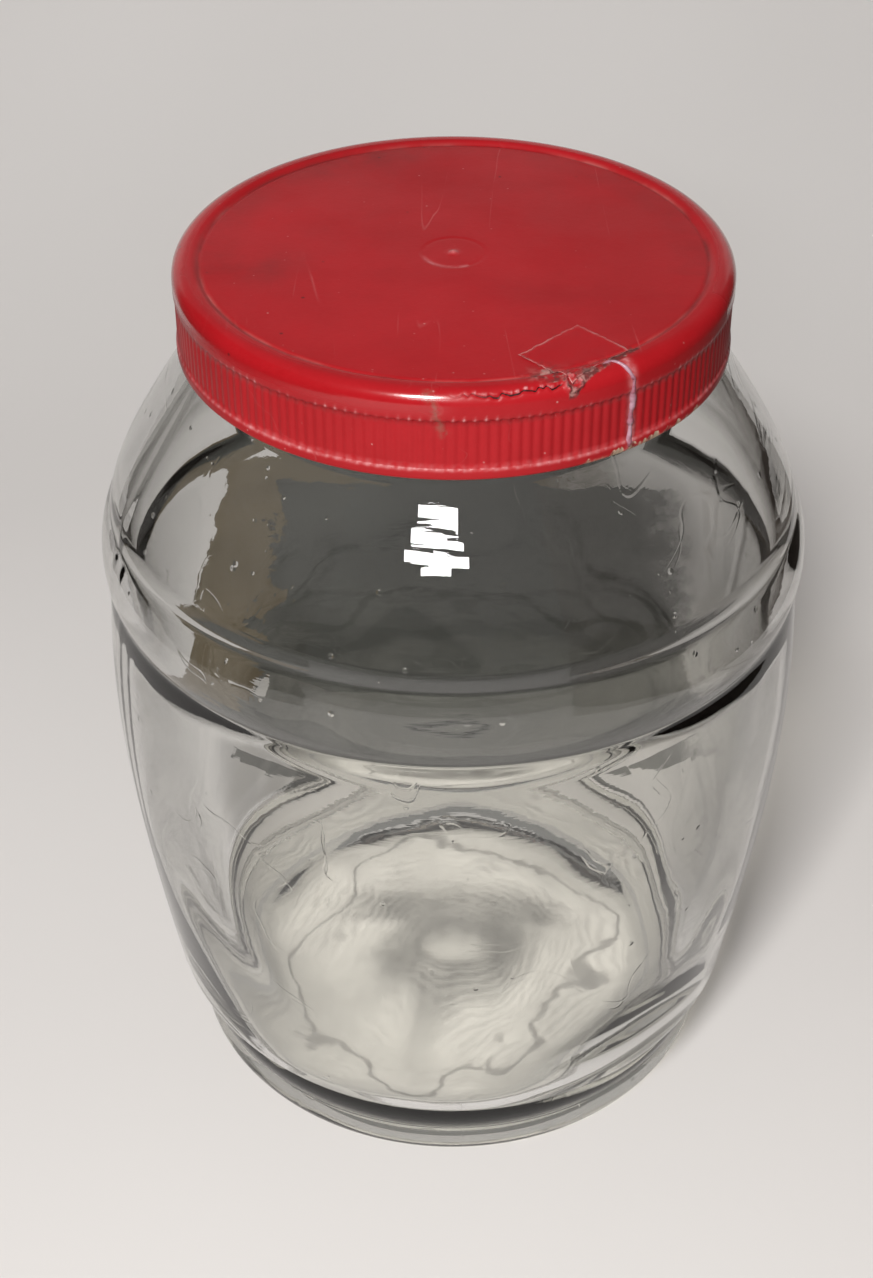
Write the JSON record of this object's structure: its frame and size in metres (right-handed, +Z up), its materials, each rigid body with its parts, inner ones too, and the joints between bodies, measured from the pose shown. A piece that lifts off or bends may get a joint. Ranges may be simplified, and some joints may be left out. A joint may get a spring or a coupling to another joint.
{
  "type": "coin bank jar",
  "caption": "Large clear glass barrel jar with a red ribbed screw lid, used as a coin bank; the lid unscrews to open the wide mouth.",
  "frame": {"origin": "centre of the jar's base, on the surface it stands on", "axes": "+Z up along the jar's axis; the repaired side of the lid faces -Y"},
  "size_m": [0.1562, 0.1562, 0.2072],
  "materials": {
    "jar_glass": "clear, smooth",
    "lid_plastic": "worn semi-gloss polypropylene",
    "liner_foam": "matt foam",
    "clear_tape": "glossy clear film over red plastic",
    "dry_glue": "cloudy dried glue"
  },
  "bodies": {
    "jar": {"glass_jar": "jar_glass"},
    "liner": {"lid_liner": "liner_foam"},
    "lid": {"screw_lid": "lid_plastic", "tape_patch": "clear_tape", "repair_glue": "dry_glue"}
  },
  "joints": [
    {"name": "lid_rise", "type": "slide", "parent": "jar", "child": "liner", "axis": [0, 0, 1], "range_m": [0, 0.02032]},
    {"name": "lid_turn", "type": "hinge", "parent": "liner", "child": "lid", "pos_m": [0, 0, 0.2], "axis": [0, 0, 1], "range_deg": [0, 1440]}
  ],
  "couplings": [
    {"joint": "lid_rise", "follows": "lid_turn", "m_per_rad": 0.0008085}
  ]
}
